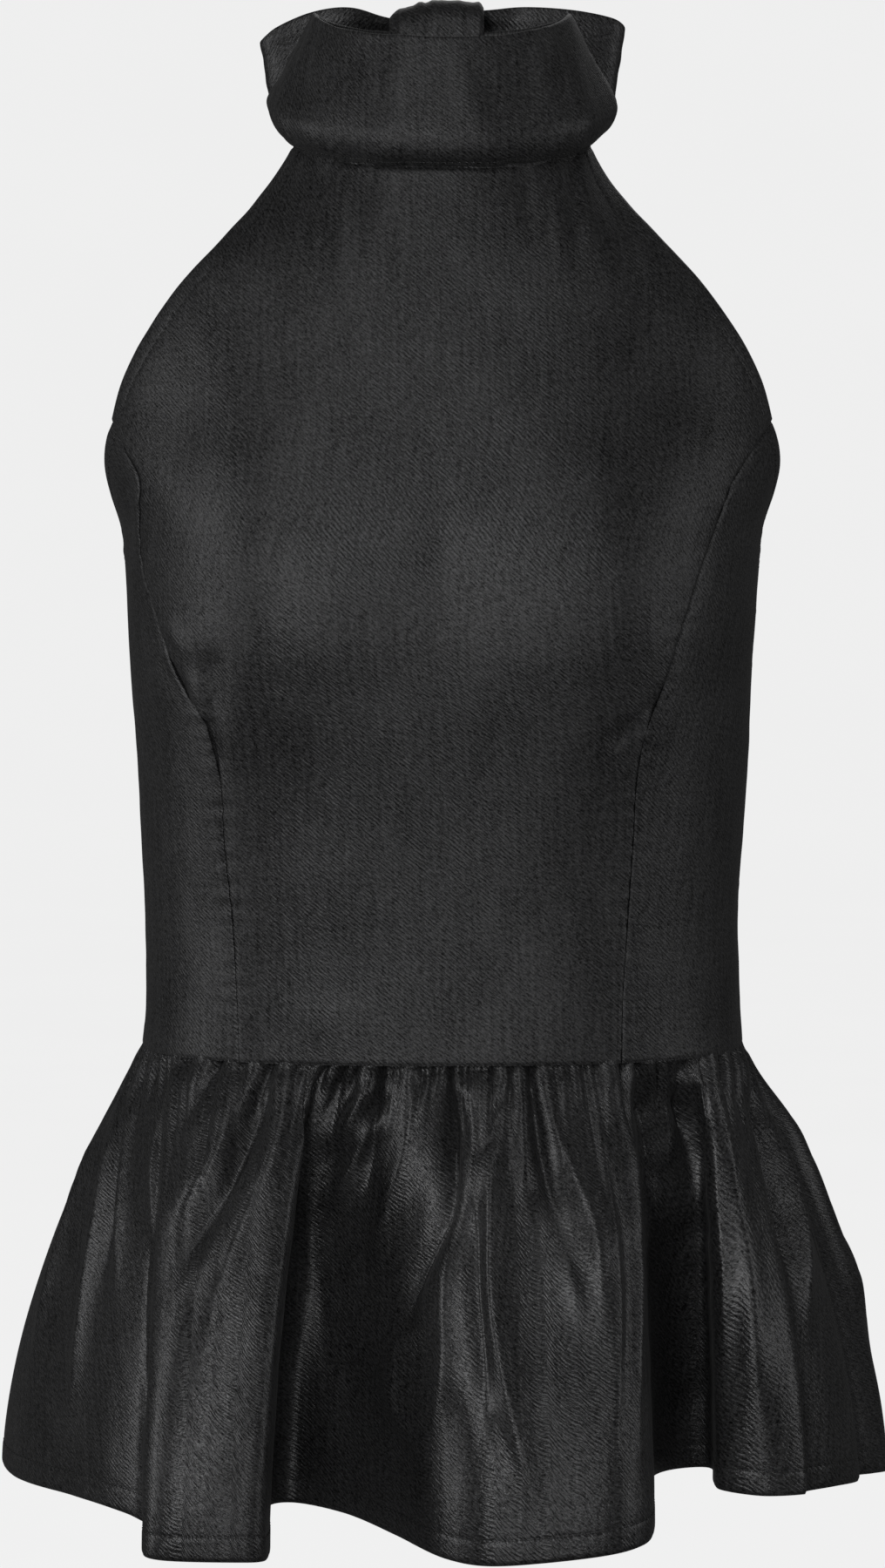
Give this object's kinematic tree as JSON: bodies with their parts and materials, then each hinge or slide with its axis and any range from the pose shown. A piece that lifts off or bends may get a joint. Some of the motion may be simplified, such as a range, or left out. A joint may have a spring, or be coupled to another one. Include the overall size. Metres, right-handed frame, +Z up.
{
  "type": "peplum top",
  "caption": "Sleeveless black satin peplum top with a halter stand collar, a bow behind the neck, princess seams and a gathered flared peplum, hollow as worn.",
  "frame": {"origin": "on the neck's axis, level with the foot of the collar at its sides, where the wearer's neck and shoulders hold the garment", "axes": "+Z up, -Y to the front, +X to the wearer's left"},
  "size_m": [0.3922, 0.3209, 0.6569],
  "materials": {
    "bodice_satin": "satin-faced twill, black, soft sheen",
    "collar_satin": "double satin-faced twill, black, soft sheen",
    "bow_satin": "double satin-faced twill, black, soft sheen",
    "peplum_satin": "satin-faced twill, black, gathered, soft sheen"
  },
  "bodies": {
    "root": {"front_panel": "bodice_satin", "side_front_left": "bodice_satin", "side_front_right": "bodice_satin", "back_left": "bodice_satin", "back_right": "bodice_satin", "collar": "collar_satin", "bow_loop_left": "bow_satin", "bow_loop_right": "bow_satin", "bow_knot": "bow_satin", "peplum_front": "peplum_satin", "peplum_back": "peplum_satin"}
  },
  "joints": []
}
